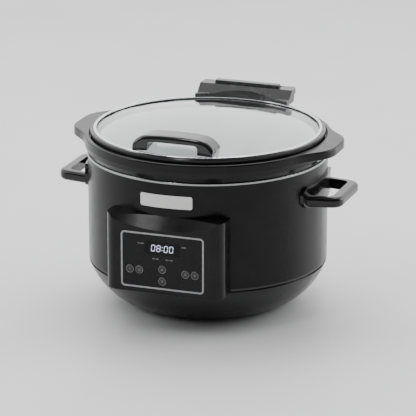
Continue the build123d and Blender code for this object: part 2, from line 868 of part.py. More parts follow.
with BuildPart() as ribbon_cable:
    cable_t = 0.8
    cable_z = panel_z - board_h / 2 + 5
    with BuildSketch(Plane.YZ.offset(6)):
        with BuildLine():
            FilletPolyline(
                (-board_y + board_t, cable_z),
                (-board_y + board_t + 13, cable_z),
                (-wall_r + 20, wall_bottom_z - 9),
                (-60, pan_floor_z + 18),
                (board_centre_y - power_d / 2 - 12, power_board_z + 12),
                (board_centre_y - power_d / 2 + 5, power_board_z + 12),
                (board_centre_y - power_d / 2 + 5, power_board_z + board_t),
                radius=4,
            )
        trace(line_width=cable_t)
    extrude(amount=18)

# ================= Crock =================


def crock_envelope(gap):
    """Outline of the crock's rim, flange and skirt, grown outwards by a gap."""
    return [
        (0, rim_top_z),
        (wall_r - 0.7 + gap, rim_top_z),
        (wall_r + 3.0 + gap, rim_top_z + 7),
        (flange_r + gap, flange_z - lug_t - gap),
        (flange_r + gap, flange_z + gap),
        (0, flange_z + gap),
    ]


with BuildPart() as crock:
    inner_floor_z = crock_base_z + crock_floor
    mouth_r = crock_r(seat_z) - crock_wall
    with BuildSketch(Plane.XZ):
        with BuildLine():
            Polyline(
                (0, crock_base_z),
                (crock_r(crock_base_z), crock_base_z),
                (crock_r(rim_top_z - 4), rim_top_z - 4),
                (crock_r(rim_top_z) + 1.5, rim_top_z + 5.5),
                (wall_r - 7, rim_top_z + 5.5),
                (wall_r - 5, rim_top_z),
                (wall_r - 0.7, rim_top_z),
                (wall_r + 3.0, rim_top_z + 7),
                (flange_r, flange_z - lug_t),
                (flange_r, flange_z),
                (seat_r, flange_z),
                (seat_r, seat_z),
                (mouth_r + 2, seat_z),
                (mouth_r, seat_z - 4),
                (crock_r(inner_floor_z) - crock_wall, inner_floor_z),
                (0, inner_floor_z),
                close=True,
            )
        make_face()
    revolve(axis=Axis.Z)
    # Two carrying lugs, blended into the round flange
    with BuildSketch(Plane.XY.offset(flange_z)) as lugs:
        Circle(flange_r)
        lug_root_x = chord(flange_r, lug_root_y)
        with BuildLine():
            Polyline(
                (-lug_root_x, -lug_root_y),
                (-lug_reach, -lug_half_w),
                (-lug_reach, lug_half_w),
                (-lug_root_x, lug_root_y),
                (lug_root_x, lug_root_y),
                (lug_reach, lug_half_w),
                (lug_reach, -lug_half_w),
                (lug_root_x, -lug_root_y),
                close=True,
            )
        make_face()
        fillet(lugs.vertices().filter_by(lambda v: abs(v.X) > lug_reach - 1), lug_corner_r)
        fillet(lugs.vertices().filter_by(lambda v: abs(abs(v.Y) - lug_root_y) < 1), lug_root_r)
        Circle(seat_r, mode=Mode.SUBTRACT)
    extrude(amount=-lug_t)
    # Rounded heel, floor corner and rim edges
    heel_r = crock_r(crock_base_z)
    floor_corner_r = crock_r(inner_floor_z) - crock_wall
    circles = crock.edges().filter_by(GeomType.CIRCLE)
    fillet(circles.filter_by(lambda e: abs(e.radius - heel_r) < 0.01), crock_heel_r)
    fillet(circles.filter_by(lambda e: abs(e.radius - floor_corner_r) < 0.01), crock_heel_r + 6)
    rim_edges = crock.edges().filter_by_position(Axis.Z, flange_z, flange_z)
    fillet(rim_edges, 2)

# ================= Hinge, crock side =================

ear_in_x = pin_half_l - ear_w
with BuildPart() as hinge_bracket:
    bracket_back_y = pin_y + knuckle_r
    split_z = flange_z - 8
    with BuildSketch(Plane.YZ):
        with BuildLine():
            Polyline(
                (flange_r - 5, flange_z),
                (flange_r - 5, flange_z + 1.6),
                (flange_r - 3, flange_z + 1.6),
                (bracket_back_y, flange_z + 1.6),
                (bracket_back_y, split_z),
                (flange_r - 12, split_z),
                (flange_r - 12, flange_z),
                close=True,
            )
        make_face()
    extrude(amount=bracket_half_w, both=True)
    # Two ears that hold the pin
    for side in (-1, 1):
        with BuildSketch(Plane.YZ.offset(side * (ear_in_x + ear_w / 2))):
            with Locations((pin_y, pin_z)):
                Circle(knuckle_r)
            with Locations((pin_y, (pin_z + flange_z) / 2)):
                Rectangle(2 * knuckle_r, pin_z - flange_z)
        extrude(amount=ear_w / 2, both=True)
    with BuildSketch(Plane.YZ):
        with Locations((pin_y, pin_z)):
            Circle(pin_r + 0.02)
    extrude(amount=bracket_half_w, both=True, mode=Mode.SUBTRACT)
    # Seat on the flange and clamp screw holes
    with BuildSketch(Plane.XZ):
        with BuildLine():
            Polyline(*crock_envelope(0), close=True)
        make_face()
    revolve(axis=Axis.Z, mode=Mode.SUBTRACT)
    with BuildSketch(Plane.XY.offset(split_z)):
        with Locations((-22, pin_y + 1), (22, pin_y + 1)):
            Circle(1.55)
    extrude(amount=7.5, mode=Mode.SUBTRACT)

with BuildPart() as hinge_clamp:
    with BuildSketch(Plane.YZ):
        with BuildLine():
            Polyline(
                (flange_r - 12, split_z),
                (bracket_back_y, split_z),
                (bracket_back_y, split_z - clamp_h + 3),
                (bracket_back_y - 3, split_z - clamp_h),
                (flange_r - 12, split_z - clamp_h),
                close=True,
            )
        make_face()
    extrude(amount=clamp_half_w, both=True)
    with BuildSketch(Plane.XZ):
        with BuildLine():
            Polyline(*crock_envelope(0.1), close=True)
        make_face()
    revolve(axis=Axis.Z, mode=Mode.SUBTRACT)
    with BuildSketch(Plane.XY.offset(split_z)):
        with Locations((-22, pin_y + 1), (22, pin_y + 1)):
            Circle(1.8)
    extrude(amount=-clamp_h, mode=Mode.SUBTRACT)

with BuildPart() as hinge_clamp_screws:
    with BuildSketch(Plane.XY.offset(split_z - clamp_h)):
        with Locations((-22, pin_y + 1), (22, pin_y + 1)):
            Circle(3)
    extrude(amount=-2)
    with BuildSketch(Plane.XY.offset(split_z - clamp_h)):
        with Locations((-22, pin_y + 1), (22, pin_y + 1)):
            Circle(1.5)
    extrude(amount=clamp_h + 7)

with BuildPart() as hinge_pin:
    with BuildSketch(Plane.YZ):
        with Locations((pin_y, pin_z)):
            Circle(pin_r)
    extrude(amount=pin_half_l, both=True)
    chamfer(hinge_pin.edges().filter_by(GeomType.CIRCLE), 0.4)

# ================= Lid =================

handle_screw_x = lid_handle_w / 2 - lid_screw_inset
handle_screw_xy = [(-handle_screw_x, lid_handle_y), (handle_screw_x, lid_handle_y)]
handle_foot_r = sqrt(handle_screw_x**2 + lid_handle_y**2)

with BuildPart() as lid_glass:
    with BuildSketch(Plane.XZ):
        with BuildLine():
            mid_r = glass_r / 2
            under_r = dome_r - glass_t
            under_mid_z = dome_centre_z + sqrt(under_r**2 - mid_r**2)
            under_edge_z = dome_centre_z + sqrt(under_r**2 - glass_r**2)
            Line((0, dome_centre_z + under_r), (0, dome_centre_z + dome_r))
            ThreePointArc((0, dome_centre_z + dome_r), (mid_r, dome_z(mid_r)), (glass_r, glass_edge_z))
            Line((glass_r, glass_edge_z), (glass_r, under_edge_z))
            ThreePointArc((glass_r, under_edge_z), (mid_r, under_mid_z), (0, dome_centre_z + under_r))
        make_face()
    revolve(axis=Axis.Z)
    with BuildSketch(Plane.XY.offset(seat_z)):
        with Locations(*handle_screw_xy):
            Circle(3)
    extrude(amount=40, mode=Mode.SUBTRACT)

with BuildPart() as lid_trim_ring:
    with BuildSketch(Plane.XZ):
        with BuildLine():
            Polyline(
                (frame_in_r + trim_w / 2 - trim_w, frame_top_z),
                (frame_in_r + trim_w / 2, frame_top_z),
                (frame_in_r + trim_w / 2, frame_top_z + trim_h),
                (frame_in_r + trim_w / 2 - trim_w, frame_top_z + trim_h),
                close=True,
            )
        make_face()
    revolve(axis=Axis.Z)
    trim_top_z = frame_top_z + trim_h
    fillet(lid_trim_ring.edges().filter_by_position(Axis.Z, trim_top_z, trim_top_z), 0.5)

plate_screw_angles = (68.0, 82.0, 98.0, 112.0)
plate_screw_r = lid_r - 2.6
plate_screw_xy = [
    (plate_screw_r * cos(radians(angle)), plate_screw_r * sin(radians(angle)))
    for angle in plate_screw_angles
]

with BuildPart() as lid_frame:
    with BuildSketch(Plane.XZ):
        with BuildLine():
            Polyline(
                (frame_in_r, frame_z),
                (lid_r, frame_z),
                (lid_r, frame_top_z - 1.5),
                (lid_r - 1.5, frame_top_z),
                (frame_in_r, frame_top_z),
                close=True,
            )
        make_face()
    revolve(axis=Axis.Z)
    with BuildSketch(Plane.XY.offset(frame_z)):
        with Locations(*plate_screw_xy):
            Circle(1.35)
    extrude(amount=frame_h, mode=Mode.SUBTRACT)
    with BuildSketch(Plane.XY.offset(frame_z)):
        with Locations(*plate_screw_xy):
            Circle(2.2)
    extrude(amount=2.2, mode=Mode.SUBTRACT)

with BuildPart() as lid_gasket:
    with BuildSketch(Plane.XZ):
        with BuildLine():
            Polyline(
                (mouth_r + 4.5, seat_z),
                (lid_r - 1, seat_z),
                (lid_r - 1, frame_z),
                (glass_r - 0.4, frame_z),
                (glass_r - 0.4, under_edge_z),
                (glass_r - 2.2, under_edge_z),
                (mouth_r + 4.5, frame_z - 1),
                close=True,
            )
        make_face()
    revolve(axis=Axis.Z)

with BuildPart() as lid_handle:
    handle_low_z = frame_top_z - 6
    bridge_top_z = frame_top_z + lid_handle_top
    with BuildSketch(facing(-lid_handle_y)):
        with BuildLine():
            half_w = lid_handle_w / 2
            Line((-half_w, handle_low_z), (-half_w, bridge_top_z - 12))
            Spline(
                (-half_w, bridge_top_z - 12),
                (-half_w + 9, bridge_top_z - 4.2),
                (-half_w + 26, bridge_top_z - 0.8),
                (0, bridge_top_z),
                (half_w - 26, bridge_top_z - 0.8),
                (half_w - 9, bridge_top_z - 4.2),
                (half_w, bridge_top_z - 12),
            )
            Line((half_w, bridge_top_z - 12), (half_w, handle_low_z))
            Line((half_w, handle_low_z), (-half_w, handle_low_z))
        make_face()
    extrude(amount=lid_handle_d / 2, both=True)
    long_edges = lid_handle.edges().filter_by(lambda e: e.center().Z > bridge_top_z - 8 and e.length > 30)
    fillet(long_edges.filter_by(lambda e: abs(e.center().Y - lid_handle_y) > 5), 5)
    # Finger gap under the grip
    with BuildSketch(facing(-lid_handle_y)) as gap:
        with Locations((0, frame_top_z + lid_handle_gap_z - 14)):
            Rectangle(lid_handle_gap_w, 28)
        fillet(gap.vertices().sort_by(Axis.Y)[-2:], 5)
    extrude(amount=lid_handle_d, both=True, mode=Mode.SUBTRACT)
    # Feet shaped to the glass, on their washers
    with Locations((0, 0, dome_centre_z)):
        Sphere(dome_r + washer_t, mode=Mode.SUBTRACT)
    with BuildSketch(Plane.XY.offset(frame_top_z)):
        with Locations(*handle_screw_xy):
            Circle(2.05)
    extrude(amount=11, mode=Mode.SUBTRACT)

with BuildPart() as lid_handle_washers:
    with BuildSketch(Plane.XY.offset(seat_z)):
        with Locations(*handle_screw_xy):
            Circle(8)
            Circle(3, mode=Mode.SUBTRACT)
    extrude(amount=30)
    with Locations((0, 0, dome_centre_z)):
        Sphere(dome_r + washer_t, mode=Mode.INTERSECT)
    with Locations((0, 0, dome_centre_z)):
        Sphere(dome_r, mode=Mode.SUBTRACT)

with BuildPart() as lid_handle_screws:
    lid_head_z = dome_z(handle_foot_r + 5) - glass_t - 0.3
    with BuildSketch(Plane.XY.offset(lid_head_z)):
        with Locations(*handle_screw_xy):
            Circle(5)
    extrude(amount=-2)
    with BuildSketch(Plane.XY.offset(lid_head_z)):
        with Locations(*handle_screw_xy):
            Circle(2)
    extrude(amount=12)

# ---- Hinge, lid side ----

plate_bottom_z = frame_top_z
plate_top_z = flange_z + plate_top
plate_front_z = flange_z + plate_front_top
plate_back_y = pin_y + knuckle_r - 1
latch_back_y = plate_back_y - 2.5 - latch_travel - slide_gap
latch_front_y = latch_back_y - latch_d
crest_y = latch_front_y - slide_gap - 1.5

with BuildPart() as hinge_plate:
    with BuildSketch(Plane.YZ):
        with BuildLine():
            Polyline(
                (frame_in_r - 30, plate_bottom_z),
                (pin_y - 6.5, plate_bottom_z),
                (pin_y - 4, pin_z + knuckle_r + 1.7),
                (plate_back_y, pin_z + knuckle_r + 1.7),
                (plate_back_y, plate_top_z),
                (crest_y, plate_top_z),
                (frame_in_r - 8, plate_front_z),
                (frame_in_r - 30, plate_front_z),
                close=True,
            )
        make_face()
    extrude(amount=plate_half_w, both=True)
    # Rounded plan corners, then the front edge that follows the lid's trim ring
    upright = hinge_plate.edges().filter_by(Axis.Z)
    fillet(upright.filter_by(lambda e: e.center().Y > pin_y), 5)
    with BuildSketch(Plane.XY.offset(plate_bottom_z)):
        Circle(frame_in_r - trim_w / 2 - 0.4)
    extrude(amount=30, mode=Mode.SUBTRACT)
    with BuildSketch(Plane.XY.offset(plate_bottom_z)):
        Circle(frame_in_r + trim_w / 2 + 0.1)
    extrude(amount=trim_h + 0.1, mode=Mode.SUBTRACT)
    # Barrel between the ears
    with BuildSketch(Plane.YZ):
        with Locations((pin_y, pin_z)):
            Circle(knuckle_r)
        with Locations((pin_y - 0.5, pin_z + knuckle_r / 2 + 1.5)):
            Rectangle(2 * knuckle_r - 1, knuckle_r + 3)
    extrude(amount=ear_in_x - ear_gap, both=True)
    with BuildSketch(Plane.YZ):
        with Locations((pin_y, pin_z)):
            Circle(pin_r + pin_fit)
    extrude(amount=ear_in_x, both=True, mode=Mode.SUBTRACT)
    # Recess for the sliding latch
    recess_z = plate_top_z - latch_sink
    with BuildSketch(Plane.XY.offset(recess_z)):
        with Locations((0, (latch_front_y + latch_back_y + latch_travel) / 2)):
            Rectangle(2 * (latch_half_w + slide_gap), latch_d + latch_travel + 2 * slide_gap)
    extrude(amount=10, mode=Mode.SUBTRACT)
    # Pilot holes for its screws
    with BuildSketch(Plane.XY.offset(plate_bottom_z)):
        with Locations(*plate_screw_xy):
            Circle(1.25)
    extrude(amount=4.5, mode=Mode.SUBTRACT)

with BuildPart() as hinge_plate_screws:
    with BuildSketch(Plane.XY.offset(frame_z + 2.2)):
        with Locations(*plate_screw_xy):
            Circle(2.1)
    extrude(amount=-1.6)
    with BuildSketch(Plane.XY.offset(frame_z + 2.2)):
        with Locations(*plate_screw_xy):
            Circle(1.2)
    extrude(amount=frame_h - 2.2 + 4)

with BuildPart() as hinge_latch:
    with BuildSketch(Plane.XY.offset(recess_z + 0.1)):
        with Locations((0, (latch_front_y + latch_back_y) / 2)):
            RectangleRounded(2 * latch_half_w, latch_d, 2)
    extrude(amount=latch_h)
    top_z = recess_z + 0.1 + latch_h
    fillet(hinge_latch.edges().filter_by_position(Axis.Z, top_z, top_z), 1.2)

# ================= Labels and files =================

pieces = {
    "housing_wall": housing_wall,
    "rim_ring": rim_ring,
    "heating_liner": heating_liner,
    "heater_band": heater_band,
    "heater_straps": heater_straps,
    "heat_shield": heat_shield,
    "thermal_fuse": thermal_fuse,
    "temperature_sensor": temperature_sensor,
    "sensor_clip": sensor_clip,
    "base_pan": base_pan,
    "rubber_feet": rubber_feet,
    "foot_screws": foot_screws,
    "centre_stud": centre_stud,
    "centre_nut": centre_nut,
    "cord_gland": cord_gland,
    "power_board": power_board,
    "power_board_screws": power_board_screws,
    "transformer": transformer,
    "relay": relay,
    "terminal_block": terminal_block,
    "side_handle_right": side_handle_right,
    "side_handle_left": side_handle_left,
    "handle_backing_plates": handle_backing_plates,
    "handle_screws": handle_screws,
    "badge": badge,
    "control_housing": control_housing,
    "control_screws": control_screws,
    "panel_bezel": panel_bezel,
    "control_fascia": control_fascia,
    "display_window": display_window,
    "display_module": display_module,
    "display_board": display_board,
    "board_screws": board_screws,
    "tactile_switches": tactile_switches,
    "power_button": power_button,
    "mode_button": mode_button,
    "time_up_button": time_up_button,
    "time_down_button": time_down_button,
    "heat_button": heat_button,
    "warm_button": warm_button,
    "ribbon_cable": ribbon_cable,
    "crock": crock,
    "hinge_bracket": hinge_bracket,
    "hinge_clamp": hinge_clamp,
    "hinge_clamp_screws": hinge_clamp_screws,
    "hinge_pin": hinge_pin,
    "lid_glass": lid_glass,
    "lid_trim_ring": lid_trim_ring,
    "lid_frame": lid_frame,
    "lid_gasket": lid_gasket,
    "lid_handle": lid_handle,
    "lid_handle_washers": lid_handle_washers,
    "lid_handle_screws": lid_handle_screws,
    "hinge_plate": hinge_plate,
    "hinge_plate_screws": hinge_plate_screws,
    "hinge_latch": hinge_latch,
}
for name, piece in pieces.items():
    piece.part.label = name
    export_step(piece.part, f"parts/{name}.step")
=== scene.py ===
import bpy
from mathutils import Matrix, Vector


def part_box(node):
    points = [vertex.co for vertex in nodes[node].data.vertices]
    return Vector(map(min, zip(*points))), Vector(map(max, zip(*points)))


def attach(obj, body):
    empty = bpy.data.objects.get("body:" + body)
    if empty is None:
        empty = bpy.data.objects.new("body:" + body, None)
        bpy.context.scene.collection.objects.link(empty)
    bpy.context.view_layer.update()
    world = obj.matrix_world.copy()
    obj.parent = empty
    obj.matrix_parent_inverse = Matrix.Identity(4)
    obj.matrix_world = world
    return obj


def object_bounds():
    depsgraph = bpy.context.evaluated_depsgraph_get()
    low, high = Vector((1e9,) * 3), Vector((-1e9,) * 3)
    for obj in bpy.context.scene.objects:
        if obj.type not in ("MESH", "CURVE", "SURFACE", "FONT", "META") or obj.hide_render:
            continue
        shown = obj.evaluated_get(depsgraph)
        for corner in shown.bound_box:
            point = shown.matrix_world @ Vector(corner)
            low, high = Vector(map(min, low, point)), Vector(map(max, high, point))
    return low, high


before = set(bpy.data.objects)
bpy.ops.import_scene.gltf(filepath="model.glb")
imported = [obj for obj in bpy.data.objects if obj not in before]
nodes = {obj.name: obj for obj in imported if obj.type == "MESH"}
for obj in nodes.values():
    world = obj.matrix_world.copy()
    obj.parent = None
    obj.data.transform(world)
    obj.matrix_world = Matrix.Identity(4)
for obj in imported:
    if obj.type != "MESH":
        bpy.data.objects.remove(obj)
cad_box = [list(corner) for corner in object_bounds()]

# Looks of a round slow cooker with a hinged glass lid. Lengths are in metres, in
# the frame's own axes: +Z up, the control panel faces -Y.
from math import cos, pi, radians, sin, sqrt

import bmesh
import bpy
from mathutils import Vector

MM = 0.001
SMOOTH_ANGLE = radians(32)
RANGE_SOCKETS = ("From Min", "From Max", "To Min", "To Max")
NOISE_LOW, NOISE_HIGH = 0.35, 0.65  # most of a noise texture's values lie between these

# The crock's bowl, as the glaze needs it
CROCK_WALL = 7.5 * MM
CROCK_FLOOR = 8 * MM
BOWL_MOUTH_R = 131.0 * MM
BOWL_FLOOR_R = 118.4 * MM
GLAZE_EDGE_DROP = 1.6 * MM  # the pale glaze ends this far under the gasket
GLAZE_EDGE_WOBBLE = 0.6 * MM

# The display and the marks on the panel
DIGIT_W = 4.2 * MM
DIGIT_H = 7.6 * MM
DIGIT_STROKE = 1.05 * MM
DIGIT_LEAN = 0.1
DIGIT_PITCH = 6.9 * MM
COLON_GAP = 2.4 * MM
COLON_LIFT = 1.8 * MM
DIGIT_T = 0.08 * MM
DASH_H = 1.3 * MM
DASH_DROP = 5.5 * MM  # the lower dashes stand this far under the window's lower edge
SIDE_DASH_X = 27.5 * MM
SIDE_DASH_DROP = 3.4 * MM
PRINT_T = 0.06 * MM
MARK_HALF = 1.9 * MM
MARK_STROKE = 0.55 * MM
ARROW_BASE = 1.2 * MM
BUTTON_RING_INSET = 0.32 * MM
BUTTON_RING_W = 0.75 * MM
BUTTON_RING_H = 0.12 * MM
RING_SINK = 0.2 * MM  # a button's ring reaches this far into its cap

FLOOR_HALF = 6.0

# ---------------------------------------------------------------- materials


class Finish:
    """A procedural material under construction: one Principled shader and its textures."""

    def __init__(self, name, colour, roughness, metallic=0.0, specular=0.5, coat=0.0, coat_roughness=0.05):
        self.material = bpy.data.materials.new(name)
        self.material.use_nodes = True
        self.tree = self.material.node_tree
        self.shader = self.tree.nodes["Principled BSDF"]
        self.set("Base Color", (*colour, 1.0))
        self.set("Roughness", roughness)
        self.set("Metallic", metallic)
        self.set("Specular IOR Level", specular)
        self.set("Coat Weight", coat)
        self.set("Coat Roughness", coat_roughness)
        self.coordinates = self.tree.nodes.new("ShaderNodeTexCoord").outputs["Object"]

    def set(self, socket, value):
        self.shader.inputs[socket].default_value = value

    def node(self, kind, **settings):
        made = self.tree.nodes.new("ShaderNode" + kind)
        for key, value in settings.items():
            setattr(made, key, value)
        return made

    def link(self, output, target):
        self.tree.links.new(output, target)

    def stretched(self, stretch):
        """Object coordinates, scaled along each axis."""
        mapping = self.node("Mapping")
        mapping.inputs["Scale"].default_value = stretch
        self.link(self.coordinates, mapping.inputs["Vector"])
        return mapping.outputs["Vector"]

    def noise(self, size, detail=3.0, stretch=(1, 1, 1)):
        """Noise whose features are about size metres across."""
        made = self.node("TexNoise")
        made.inputs["Scale"].default_value = 1 / size
        made.inputs["Detail"].default_value = detail
        self.link(self.stretched(stretch), made.inputs["Vector"])
        return made.outputs["Fac"]

    def ranged(self, value, low, high, new_low, new_high):
        """A value remapped from one range to another, held at both ends."""
        made = self.node("MapRange")
        for socket, number in zip(RANGE_SOCKETS, (low, high, new_low, new_high)):
            made.inputs[socket].default_value = number
        self.link(value, made.inputs["Value"])
        return made.outputs["Result"]

    def mixed(self, factor, first, second):
        """Two colours mixed by a factor."""
        made = self.node("Mix", data_type="RGBA")
        self.link(factor, made.inputs["Factor"])
        for socket, colour in zip(made.inputs[6:8], (first, second)):
            if isinstance(colour, tuple):
                socket.default_value = (*colour, 1.0)
            else:
                self.link(colour, socket)
        return made.outputs[2]

    def sums(self, operation, first, second=None):
        """A math node on values or numbers."""
        made = self.node("Math", operation=operation)
        for socket, value in zip(made.inputs, (first, second)):
            if value is None:
                continue
            if isinstance(value, (int, float)):
                socket.default_value = value
            else:
                self.link(value, socket)
        return made.outputs[0]

    def rough(self, low, high, size, stretch=(1, 1, 1)):
        """Roughness that wanders between two values."""
        wander = self.ranged(self.noise(size, stretch=stretch), NOISE_LOW, NOISE_HIGH, low, high)
        self.link(wander, self.shader.inputs["Roughness"])
        return self

    def tint(self, first, second, size, stretch=(1, 1, 1)):
        """Base colour that wanders between two colours."""
        factor = self.ranged(self.noise(size, stretch=stretch), NOISE_LOW, NOISE_HIGH, 0.0, 1.0)
        self.link(self.mixed(factor, first, second), self.shader.inputs["Base Color"])
        return self

    def bump(self, size, height, strength=1.0, detail=2.0, stretch=(1, 1, 1)):
        """Surface grain: features of a size, of a height in metres."""
        made = self.node("Bump")
        made.inputs["Strength"].default_value = strength
        made.inputs["Distance"].default_value = height
        self.link(self.noise(size, detail, stretch), made.inputs["Height"])
        earlier = self.shader.inputs["Normal"].links
        if earlier:
            self.link(earlier[0].from_socket, made.inputs["Normal"])
        self.link(made.outputs["Normal"], self.shader.inputs["Normal"])
        return self


def dark_gloss(name, shade, rough_low, rough_high, grain_height, specular=0.5, coat=0.0):
    """Moulded or painted black gloss: faint orange peel and cloudy wear in the shine."""
    finish = Finish(name, (shade, shade, shade), rough_low, specular=specular, coat=coat)
    finish.tint((shade, shade, shade * 1.04), (shade * 1.5, shade * 1.5, shade * 1.55), 0.03)
    finish.rough(rough_low, rough_high, 0.018)
    finish.bump(1.4 * MM, grain_height, 0.5)
    return finish.material


def dark_satin(name, shade, rough_low, rough_high, grain=0.5 * MM, height=0.05 * MM):
    """Spark-eroded black plastic: fine leather-like grain and a soft sheen."""
    finish = Finish(name, (shade, shade, shade), rough_low)
    finish.tint((shade, shade, shade), (shade * 1.2, shade * 1.2, shade * 1.2), 0.02)
    finish.rough(rough_low, rough_high, 0.03)
    finish.bump(grain, height, 0.6, detail=4)
    return finish.material


def tinted(name, colour, roughness, first, second, size, stretch=(1, 1, 1)):
    """Plain material whose colour wanders between two close colours."""
    return Finish(name, colour, roughness).tint(first, second, size, stretch).material


def metal(
    name, colour, rough_low, rough_high, stretch=(1, 1, 1), size=2 * MM, height=0.01 * MM, anisotropy=0.0
):
    """Bare metal with a directional grain."""
    finish = Finish(name, colour, rough_low, metallic=1.0)
    finish.set("Anisotropic", anisotropy)
    darker = tuple(part * 0.86 for part in colour)
    finish.tint(colour, darker, size, stretch)
    finish.rough(rough_low, rough_high, size, stretch)
    finish.bump(size, height, 0.4, stretch=stretch)
    return finish.material


def stoneware():
    """Glazed stoneware: black outside and over the rim, pale grey glaze in the bowl."""
    crock_low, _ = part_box("crock")
    gasket_low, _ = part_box("lid_gasket")
    seat_z = gasket_low.z
    floor_z = crock_low.z + CROCK_FLOOR
    slope = (BOWL_MOUTH_R - BOWL_FLOOR_R) / (seat_z - floor_z)
    black = (0.007, 0.007, 0.0075)
    soft_black = (0.012, 0.012, 0.0125)
    pale = (0.78, 0.80, 0.81)
    warm_pale = (0.70, 0.715, 0.72)
    finish = Finish("stoneware_glaze", black, 0.1, specular=0.2)
    split = finish.node("SeparateXYZ")
    finish.link(finish.coordinates, split.inputs[0])
    x, y, z = split.outputs
    radius = finish.sums("SQRT", finish.sums("ADD", finish.sums("POWER", x, 2), finish.sums("POWER", y, 2)))
    widening = finish.sums("MULTIPLY", finish.sums("SUBTRACT", z, floor_z), slope)
    mid_wall = finish.sums("ADD", widening, BOWL_FLOOR_R + CROCK_WALL / 2)
    inside = finish.sums("LESS_THAN", radius, mid_wall)
    above = finish.sums("GREATER_THAN", z, floor_z - CROCK_FLOOR / 2)
    wobble = finish.ranged(finish.noise(0.012), 0.3, 0.7, -GLAZE_EDGE_WOBBLE, GLAZE_EDGE_WOBBLE)
    below = finish.sums("LESS_THAN", finish.sums("ADD", z, wobble), seat_z - GLAZE_EDGE_DROP)
    mask = finish.sums("MULTIPLY", finish.sums("MULTIPLY", inside, above), below)
    cloud = finish.ranged(finish.noise(0.04), NOISE_LOW, NOISE_HIGH, 0.0, 1.0)
    speckle = finish.ranged(finish.noise(0.9 * MM, detail=1), 0.70, 0.74, 0.0, 0.35)
    bowl = finish.mixed(cloud, pale, warm_pale)
    shell = finish.mixed(speckle, finish.mixed(cloud, black, soft_black), (0.05, 0.05, 0.05))
    finish.link(finish.mixed(mask, shell, bowl), finish.shader.inputs["Base Color"])
    glaze = finish.ranged(finish.noise(0.02), NOISE_LOW, NOISE_HIGH, 0.16, 0.26)
    finish.link(glaze, finish.shader.inputs["Roughness"])
    finish.bump(9 * MM, 0.12 * MM, 0.5, detail=2)
    finish.bump(1.0 * MM, 0.02 * MM, 0.3)
    return finish.material


def glass():
    """Clear toughened glass with a faint green edge and a trace of streaks in its shine."""
    finish = Finish("lid_glass_clear", (0.97, 0.985, 0.98), 0.0)
    finish.set("Transmission Weight", 1.0)
    finish.set("IOR", 1.46)
    finish.bump(0.05, 0.02 * MM, 0.1, detail=1)
    # Lamps shine through the pane onto what it covers
    let_through = finish.node("BsdfTransparent")
    let_through.inputs["Color"].default_value = (0.93, 0.95, 0.94, 1.0)
    either = finish.node("MixShader")
    finish.link(finish.node("LightPath").outputs["Is Shadow Ray"], either.inputs[0])
    finish.link(finish.shader.outputs[0], either.inputs[1])
    finish.link(let_through.outputs[0], either.inputs[2])
    finish.link(either.outputs[0], finish.tree.nodes["Material Output"].inputs["Surface"])
    return finish.material


def heater_cloth():
    """Woven glass-fibre heater sleeve."""
    finish = Finish("heater_cloth", (0.72, 0.70, 0.62), 0.8)
    weave = finish.node("TexWave", wave_type="BANDS", bands_direction="Z")
    weave.inputs["Scale"].default_value = 220
    weave.inputs["Distortion"].default_value = 1.5
    finish.link(finish.coordinates, weave.inputs["Vector"])
    threads = finish.mixed(weave.outputs["Fac"], (0.78, 0.76, 0.68), (0.55, 0.52, 0.44))
    finish.link(threads, finish.shader.inputs["Base Color"])
    finish.bump(1.2 * MM, 0.2 * MM, 0.6)
    return finish.material


def circuit_board():
    """Green solder resist with paler copper tracks showing through."""
    finish = Finish("circuit_board", (0.02, 0.16, 0.07), 0.35, coat=0.3)
    tracks = finish.node("TexBrick")
    tracks.inputs["Scale"].default_value = 90
    tracks.inputs["Mortar Size"].default_value = 0.03
    finish.link(finish.coordinates, tracks.inputs["Vector"])
    resist = finish.mixed(tracks.outputs["Fac"], (0.02, 0.15, 0.06), (0.05, 0.28, 0.12))
    finish.link(resist, finish.shader.inputs["Base Color"])
    finish.rough(0.3, 0.45, 0.01)
    return finish.material


def printed(name, colour, rough=0.45):
    """Screen-printed ink: slightly uneven cover."""
    finish = Finish(name, colour, rough)
    finish.tint(colour, tuple(part * 0.75 for part in colour), 0.6 * MM)
    finish.rough(rough - 0.08, rough + 0.08, 1 * MM)
    return finish.material


def lit_segment():
    """Bluish white light-emitting segment."""
    finish = Finish("lit_segment", (0.75, 0.8, 1.0), 0.4)
    finish.set("Emission Color", (0.72, 0.78, 1.0, 1.0))
    glow = finish.ranged(finish.noise(1.5 * MM), 0.3, 0.7, 0.4, 0.6)
    finish.link(glow, finish.shader.inputs["Emission Strength"])
    return finish.material


def pale_floor():
    """Plain pale worktop."""
    finish = Finish("pale_worktop", (0.8, 0.8, 0.805), 0.45, specular=0.35)
    finish.tint((0.8, 0.8, 0.805), (0.765, 0.77, 0.775), 0.25)
    finish.rough(0.4, 0.5, 0.2)
    return finish.material


wall_paint = dark_gloss("wall_paint", 0.006, 0.20, 0.27, 0.012 * MM, specular=0.18)
module_gloss = dark_gloss("module_gloss", 0.006, 0.14, 0.2, 0.01 * MM, specular=0.22)
fascia_gloss = dark_gloss("fascia_gloss", 0.007, 0.22, 0.3, 0.006 * MM, specular=0.2)
window_gloss = dark_gloss("window_gloss", 0.005, 0.16, 0.22, 0.002 * MM, specular=0.15)
handle_gloss = dark_gloss("handle_gloss", 0.006, 0.1, 0.16, 0.01 * MM, specular=0.4)
lid_handle_gloss = dark_gloss("lid_handle_gloss", 0.009, 0.08, 0.14, 0.008 * MM, coat=0.3)
frame_gloss = dark_gloss("frame_gloss", 0.006, 0.12, 0.18, 0.006 * MM, specular=0.3)
button_gloss = dark_gloss("button_gloss", 0.014, 0.25, 0.34, 0.006 * MM)
base_satin = dark_satin("base_satin", 0.010, 0.2, 0.28, height=0.02 * MM)
hinge_satin = dark_satin("hinge_satin", 0.035, 0.22, 0.3, height=0.03 * MM)
rubber = dark_satin("soft_rubber", 0.014, 0.55, 0.7, grain=0.8 * MM)
